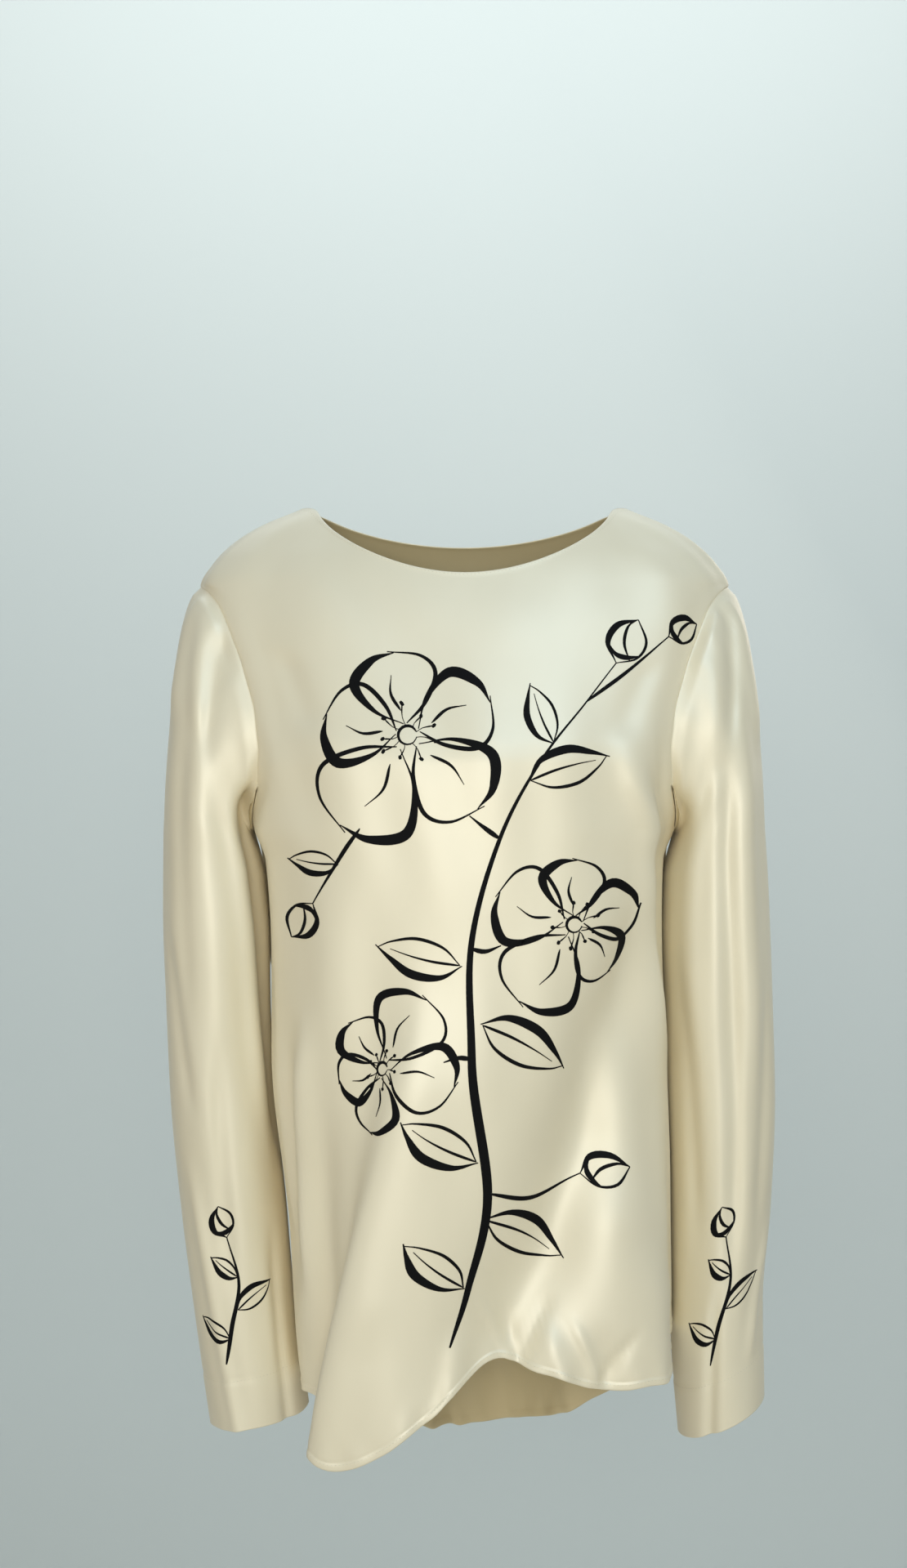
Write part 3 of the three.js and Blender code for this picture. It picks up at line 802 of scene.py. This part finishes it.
def flower(centre, size, angle, petals=5, bold=4.6):
    """An open flower seen a little from the side, with a ring of stamens."""
    strokes = []
    for i in range(petals):
        turn = angle + 360 / petals * (i + draw.uniform(-0.12, 0.12))
        reach = size * draw.uniform(0.88, 1.1) * (1 - 0.16 * math.cos(math.radians(turn - angle)))
        strokes += petal(centre, turn, reach, reach * draw.uniform(0.82, 0.98), bold)
    ring = size * 0.10
    around = np.radians(np.linspace(20, 350, 9))
    circle = np.stack([np.cos(around), np.sin(around)], -1) * ring + centre
    strokes.append(stroke(circle, 2.2, peak=0.3))
    for i in range(STAMENS):
        turn = angle + 360 / STAMENS * i + draw.uniform(-9, 9)
        reach = size * draw.uniform(0.24, 0.34)
        stem = place([(ring / reach, 0), (0.6, 0.06), (1, 0)], centre, turn, reach)
        strokes.append(stroke(stem, 1.1, thin=0.5, peak=0.8))
        strokes.append(stroke(place([(0.94, -0.04), (1.1, 0.04)], centre, turn, reach), 2.6, thin=1.6))
    return strokes


def leaf(base, angle, length, breadth, bold=4.0):
    """A pointed leaf with a bold edge, a light edge and a midrib."""
    squash = breadth / length
    bold_edge = [(0, 0), (0.22, 0.40), (0.56, 0.46), (0.84, 0.20), (1.04, -0.05)]
    light_edge = [(0.03, -0.01), (0.26, -0.34), (0.58, -0.42), (0.86, -0.22), (1.0, -0.02)]
    midrib = [(0.02, 0), (0.34, 0.05), (0.62, 0.03), (0.86, -0.03)]
    return [
        stroke(place(bold_edge, base, angle, length, squash), bold, peak=0.5),
        stroke(place(light_edge, base, angle, length, squash), bold * 0.4, peak=0.5),
        stroke(place(midrib, base, angle, length, squash), bold * 0.32, thin=0.5, peak=0.25),
    ]


def bud(base, angle, length):
    """A closed bud: two petals folded over each other above a short cup."""
    left = [(0, 0), (0.30, 0.34), (0.70, 0.32), (1.0, 0)]
    right = [(0, 0), (0.28, -0.32), (0.66, -0.34), (1.0, 0)]
    lap = [(0.16, -0.22), (0.44, 0.04), (0.78, 0.12), (0.98, 0.02)]
    cup = [(0.30, 0.34), (0.16, 0.10), (0.20, -0.14), (0.34, -0.34)]
    lines = [left, right, lap, cup]
    bolds = [5.0, 2.0, 2.4, 3.8]
    return [stroke(place(line, base, angle, length), bold) for line, bold in zip(lines, bolds)]


FLOWERS = table("x z size angle petals bold", [
    [-40, -172, 66, 100, 5, 7.6],
    [76, -304, 54, 20, 5, 6.6],
    [-54, -404, 46, 200, 5, 5.8],
])
BUDS = table("x z angle length", [
    [108, -120, 62, 36],
    [-106, -290, 236, 30],
    [88, -482, 8, 30],
    [146, -100, 24, 25],
])
LEAVES = table("x z angle length breadth bold", [
    [44, -204, 18, 58, 28, 6.0],
    [62, -178, 112, 44, 22, 4.8],
    [-2, -332, 168, 60, 28, 6.0],
    [12, -372, -28, 66, 30, 6.6],
    [-88, -262, 176, 36, 17, 4.4],
    [16, -468, 150, 54, 26, 6.0],
    [20, -508, -30, 60, 28, 6.2],
    [10, -556, 134, 44, 21, 5.0],
])
STEMS = [
    ([(2, -596), (12, -556), (22, -490), (8, -396), (4, -320), (24, -244), (54, -188),
      (86, -148), (108, -120)], 5.6),
    ([(24, -244), (13, -236), (3, -228)], 3.6),
    ([(4, -320), (14, -322), (25, -318)], 3.4),
    ([(8, -396), (-1, -395), (-10, -398)], 3.4),
    ([(-73, -237), (-86, -256), (-106, -290)], 3.0),
    ([(22, -490), (52, -496), (88, -482)], 3.2),
    ([(86, -148), (116, -126), (146, -100)], 2.8),
]


def front_strokes():
    strokes = [stroke(points, bold, thin=0.9, peak=0.3) for points, bold in STEMS]
    for x, z, size, angle, petals, bold in zip(*FLOWERS.values()):
        strokes += flower((x, z), size, angle, int(petals), bold)
    for x, z, angle, length in zip(*BUDS.values()):
        strokes += bud((x, z), angle, length)
    for x, z, angle, length, breadth, bold in zip(*LEAVES.values()):
        strokes += leaf((x, z), angle, length, breadth, bold)
    return strokes


def sleeve_strokes():
    """A small sprig near the sleeve end: x round the sleeve, z above its end."""
    strokes = [stroke([(-14, 50), (-6, 76), (4, 108), (-2, 142)], 3.6, thin=1.0, peak=0.3)]
    for x, z, angle, length in [(-8, 68, 148, 30), (0, 88, 28, 34), (4, 112, 140, 26)]:
        strokes += leaf((x, z), angle, length, length * 0.46, 4.2)
    return strokes + bud((-2, 142), 100, 24)


def front_place(x, z):
    """(turn, height) of a place drawn on the front."""
    half = np.where(x < 0, torso["left"](z), torso["right"](z))
    inset = armhole["front"](z)
    u = np.clip(x / (half - inset), -DRAWN_TO, DRAWN_TO)
    power = torso["power"](z)
    v = (1 - np.abs(u) ** power) ** (1 / power)
    return np.degrees(np.arctan2(u, v)), z


def sleeve_place(sign):
    """What gives the (turn, height) of a place drawn on that sleeve."""
    def at(x, z):
        return (SPRIG_TURN - sign * np.degrees(x / SPRIG_RADIUS)) % 360, z
    return at


def on_cloth(grid, turn, height):
    """Points and normals of a piece's finished cloth at these turns and heights."""
    turns, heights = grid["turns"], grid["heights"]
    column = np.interp(turn, turns, np.arange(len(turns)))
    left = np.clip(column.astype(int), 0, len(turns) - 2)
    part = (column - left)[:, None]
    between = heights[:, left] * (1 - part.T) + heights[:, left + 1] * part.T
    row = np.array([np.interp(-h, -line, np.arange(len(line))) for h, line in zip(height, between.T)])
    top = np.clip(row.astype(int), 0, len(heights) - 2)
    fall = (row - top)[:, None]

    def blend(values):
        above = values[top, left] * (1 - part) + values[top, left + 1] * part
        below = values[top + 1, left] * (1 - part) + values[top + 1, left + 1] * part
        return above * (1 - fall) + below * fall

    return blend(grid["points"]), blend(grid["normals"])


def ink(name, grid, strokes, to_cloth, material):
    """All the strokes of one piece as thin closed ribbons that follow its cloth."""
    across = np.linspace(-0.5, 0.5, 5)
    vertices, faces, count = [], [], 0
    for line in strokes:
        middle = smooth_line(line["points"])
        t = np.linspace(0, 1, len(middle))
        power = math.log(0.5) / math.log(line["peak"])
        breadth = line["thin"] + (line["thick"] - line["thin"]) * np.sin(math.pi * t**power) ** BRUSH_SWELL
        along = np.gradient(middle, axis=0)
        along /= np.linalg.norm(along, axis=1, keepdims=True)
        sideways = np.stack([-along[:, 1], along[:, 0]], -1)
        flat = middle[:, None] + sideways[:, None] * (breadth[:, None] * across)[..., None]
        turn, height = to_cloth(flat[..., 0].ravel(), flat[..., 1].ravel())
        points, normals = on_cloth(grid, turn, height)
        rows, columns = flat.shape[:2]
        index = np.arange(rows * columns).reshape(rows, columns)
        lower = rows * columns
        a, b, c, d = index[:-1, :-1], index[1:, :-1], index[1:, 1:], index[:-1, 1:]
        top = np.stack([a, b, c, d], -1).reshape(-1, 4)
        edge = np.concatenate([index[0], index[1:, -1], index[-1, -2::-1], index[-2::-1, 0]])
        rim = np.stack([edge[:-1], edge[1:], edge[1:] + lower, edge[:-1] + lower], -1)
        vertices += [points + normals * INK_UP, points - normals * INK_DOWN]
        faces.append(np.concatenate([top[:, ::-1], top + lower, rim[:, ::-1]]) + count)
        count += 2 * lower
    return joined(name, vertices, faces, material)


def ink_material():
    """Matt black ink with very little shine."""
    material = grainy("ink", 900, (0.002, 0.002, 0.0025), (0.006, 0.006, 0.0062), 0.7)
    material.node_tree.nodes["Principled BSDF"].inputs["IOR"].default_value = 1.2
    return material


# ------------------------------ stitches

STITCH_STEP = 2.8           # from one stitch to the next
STITCH_LENGTH = 2.3
STITCH_WIDTH = 0.34
STITCH_UP = 0.24            # how far a stitch stands above the cloth
STITCH_SINK = 0.12          # how far its ends and underside go into the cloth
HEM_STITCH_ROW = -5         # the panels' row 4 mm above the hem edge
NECK_STITCH_ROW = 2         # the panels' row 1.8 mm below the neck edge
CUFF_STITCH = 36.5          # height of the sleeves' row above the sleeve end
CUFF_ROUND = 356.0          # degrees round the sleeve that this row runs
STITCH_FACES = np.array([
    (0, 2, 4), (2, 1, 4), (1, 3, 4), (3, 0, 4),
    (2, 0, 5), (1, 2, 5), (3, 1, 5), (0, 3, 5),
])


def stitches(name, lines, material):
    """Small spindles in a row along each line of (points, normals), joined in one mesh."""
    vertices, faces, count = [], [], 0
    for points, normals in lines:
        length = np.concatenate([[0], np.cumsum(np.linalg.norm(np.diff(points, axis=0), axis=1))])
        starts = np.arange(STITCH_STEP, length[-1] - 2 * STITCH_STEP, STITCH_STEP)

        def at(distance, values):
            return np.stack([np.interp(distance, length, values[:, i]) for i in range(3)], -1)

        first, last = at(starts, points), at(starts + STITCH_LENGTH, points)
        middle = at(starts + STITCH_LENGTH / 2, points)
        up = at(starts + STITCH_LENGTH / 2, normals)
        side = np.cross(up, last - first)
        side /= np.linalg.norm(side, axis=1, keepdims=True)
        side *= STITCH_WIDTH / 2
        corners = [first - up * STITCH_SINK, last - up * STITCH_SINK, middle - side, middle + side,
                   middle + up * STITCH_UP, middle - up * STITCH_SINK]
        vertices.append(np.stack(corners, 1).reshape(-1, 3))
        base = np.arange(len(starts)) * len(corners) + count
        faces.append((STITCH_FACES[None] + base[:, None, None]).reshape(-1, 3))
        count += len(starts) * len(corners)
    return joined(name, vertices, faces, material)


# ------------------------------ the pieces

panels = [panel("front_cloth", -90, 90, -1), panel("back_cloth", 90, 270, 1)]
sleeves = [sleeve(name + "_cloth", **plan) for name, plan in SLEEVES.items()]
CUTS = {
    "front_cloth": ("front", (0.57, 0.74), 0.28),
    "back_cloth": ("back", (0.54, 0.75), 0.30),
    "sleeve_left_cloth": ("sleeve_left", (0.37, 0.61), 0.166),
    "sleeve_right_cloth": ("sleeve_right", (0.37, 0.63), 0.169),
}
black = ink_material()
prints = {"front_cloth": ink("front_print", GRIDS["front_cloth"], front_strokes(), front_place, black)}
for name, plan in SLEEVES.items():
    to_cloth = sleeve_place(plan["sign"])
    prints[name + "_cloth"] = ink(name + "_print", GRIDS[name + "_cloth"], sleeve_strokes(), to_cloth, black)
thread = grainy("thread", 1500, (0.60, 0.54, 0.40), (0.78, 0.72, 0.57), 0.5)
seams = {}
for piece in panels:
    grid = GRIDS[piece.name]
    rows = [(grid["points"][row], grid["normals"][row]) for row in (HEM_STITCH_ROW, NECK_STITCH_ROW)]
    seams[piece.name] = stitches(piece.name.replace("cloth", "stitches"), rows, thread)
for piece in sleeves:
    round_end = np.arange(0, CUFF_ROUND)
    row = on_cloth(GRIDS[piece.name], round_end, np.full(len(round_end), CUFF_STITCH))
    seams[piece.name] = stitches(piece.name.replace("cloth", "stitches"), [row], thread)
for piece in list(prints.values()) + list(seams.values()):
    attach(piece, "root")

for piece in panels + sleeves:
    node, flat, area = CUTS[piece.name]
    piece.data.materials.append(face_satin)
    piece.data.materials.append(shaded_inside_satin)
    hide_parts(node)
    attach(piece, "root")

# ------------------------------ stage, lights and camera


def plane(name, centre, u, v, colour):
    mesh = bpy.data.meshes.new(name)
    centre, u, v = Vector(centre), Vector(u), Vector(v)
    mesh.from_pydata([centre - u - v, centre + u - v, centre + u + v, centre - u + v], [], [(0, 1, 2, 3)])
    thing = bpy.data.objects.new(name, mesh)
    bpy.context.collection.objects.link(thing)
    material = bpy.data.materials.new(name)
    material.use_nodes = True
    surface = material.node_tree.nodes["Principled BSDF"]
    surface.inputs["Base Color"].default_value = (*colour, 1)
    surface.inputs["Roughness"].default_value = 0.9
    mesh.materials.append(material)
    return thing


def area_light(name, position, target, size, power, colour):
    light = bpy.data.lights.new(name, "AREA")
    light.shape = "RECTANGLE"
    light.size, light.size_y = size
    light.energy = power
    light.color = colour
    thing = bpy.data.objects.new(name, light)
    thing.location = position
    thing.rotation_euler = (Vector(target) - Vector(position)).to_track_quat("-Z", "Y").to_euler()
    bpy.context.collection.objects.link(thing)
    return thing


plane("floor", (0, 0, -1.7), (4, 0, 0), (0, 4, 0), (0.74, 0.70, 0.62))
plane("wall", (0, 2.4, 0.3), (4, 0, 0), (0, 0, 2.4), (0.74, 0.80, 0.79))

SKY_STRENGTH = 0.54
SKY_BY_HEIGHT = [
    (0.0, (0.86, 0.74, 0.54)),
    (0.36, (0.92, 0.81, 0.63)),
    (0.50, (0.98, 0.92, 0.82)),
    (0.60, (0.62, 0.67, 0.72)),
    (1.0, (0.44, 0.53, 0.64)),
]
SKY_BY_SIDE = [
    (0.0, (0.86, 0.88, 0.90)),
    (0.30, (0.92, 0.92, 0.92)),
    (0.48, (1.05, 1.04, 1.02)),
    (0.70, (0.80, 0.79, 0.78)),
    (1.0, (0.80, 0.80, 0.80)),
]


def sky():
    """A soft room: cool above, warm at the level of the cloth and below, darker to the right."""
    world = bpy.data.worlds.new("sky")
    bpy.context.scene.world = world
    world.use_nodes = True
    nodes, links = world.node_tree.nodes, world.node_tree.links
    direction = nodes.new("ShaderNodeTexCoord")
    parts = nodes.new("ShaderNodeSeparateXYZ")
    links.new(direction.outputs["Generated"], parts.inputs["Vector"])

    def ramp(source, stops):
        from_zero = nodes.new("ShaderNodeMapRange")
        from_zero.inputs["From Min"].default_value = -1
        links.new(source, from_zero.inputs["Value"])
        colours = nodes.new("ShaderNodeValToRGB")
        colours.color_ramp.interpolation = "EASE"
        while len(colours.color_ramp.elements) < len(stops):
            colours.color_ramp.elements.new(0.5)
        for element, (position, colour) in zip(colours.color_ramp.elements, stops):
            element.position = position
            element.color = (*colour, 1)
        links.new(from_zero.outputs["Result"], colours.inputs["Fac"])
        return colours.outputs["Color"]

    by_height = ramp(parts.outputs["Z"], SKY_BY_HEIGHT)
    by_side = ramp(parts.outputs["X"], SKY_BY_SIDE)
    mixed = nodes.new("ShaderNodeMix")
    mixed.data_type = "RGBA"
    mixed.blend_type = "MULTIPLY"
    mixed.inputs["Factor"].default_value = 1
    links.new(by_height, mixed.inputs["A"])
    links.new(by_side, mixed.inputs["B"])
    links.new(mixed.outputs["Result"], nodes["Background"].inputs["Color"])
    nodes["Background"].inputs["Strength"].default_value = SKY_STRENGTH


sky()

area_light("front_panel", (-0.1, -2.2, -0.1), (0, 0, -0.28), (0.6, 0.5), 18, (1.0, 0.965, 0.85))
area_light("cool_window", (0.75, -1.7, 1.35), (0, 0, -0.1), (0.9, 0.7), 18, (0.58, 0.82, 1.0))
area_light("left_panel", (-1.9, -1.4, -0.6), (0, 0, -0.4), (0.8, 1.0), 1.5, (1.0, 0.95, 0.80))
area_light("back_fill", (1.4, 1.7, 0.5), (0, 0, -0.35), (1.0, 1.0), 8, (1.0, 0.90, 0.78))
area_light("wall_wash", (0, 1.2, 1.9), (0, 2.4, -0.9), (3.0, 0.6), 29, (0.94, 0.99, 1.0))

CAMERA_DISTANCE = 1.6
VIEW_HEIGHT = 1.18          # metres of the object's plane that the picture's height takes in
VIEW_X, VIEW_Z = -0.008, -0.206  # where the middle of the picture lies
camera = bpy.data.cameras.new("camera")
camera.sensor_width = 36
camera.lens = camera.sensor_width * CAMERA_DISTANCE / VIEW_HEIGHT
eye = bpy.data.objects.new("camera", camera)
eye.location = (VIEW_X, -CAMERA_DISTANCE, VIEW_Z)
eye.rotation_euler = (math.radians(90), 0, 0)
bpy.context.collection.objects.link(eye)
bpy.context.scene.camera = eye
bpy.context.scene.view_settings.view_transform = "Standard"
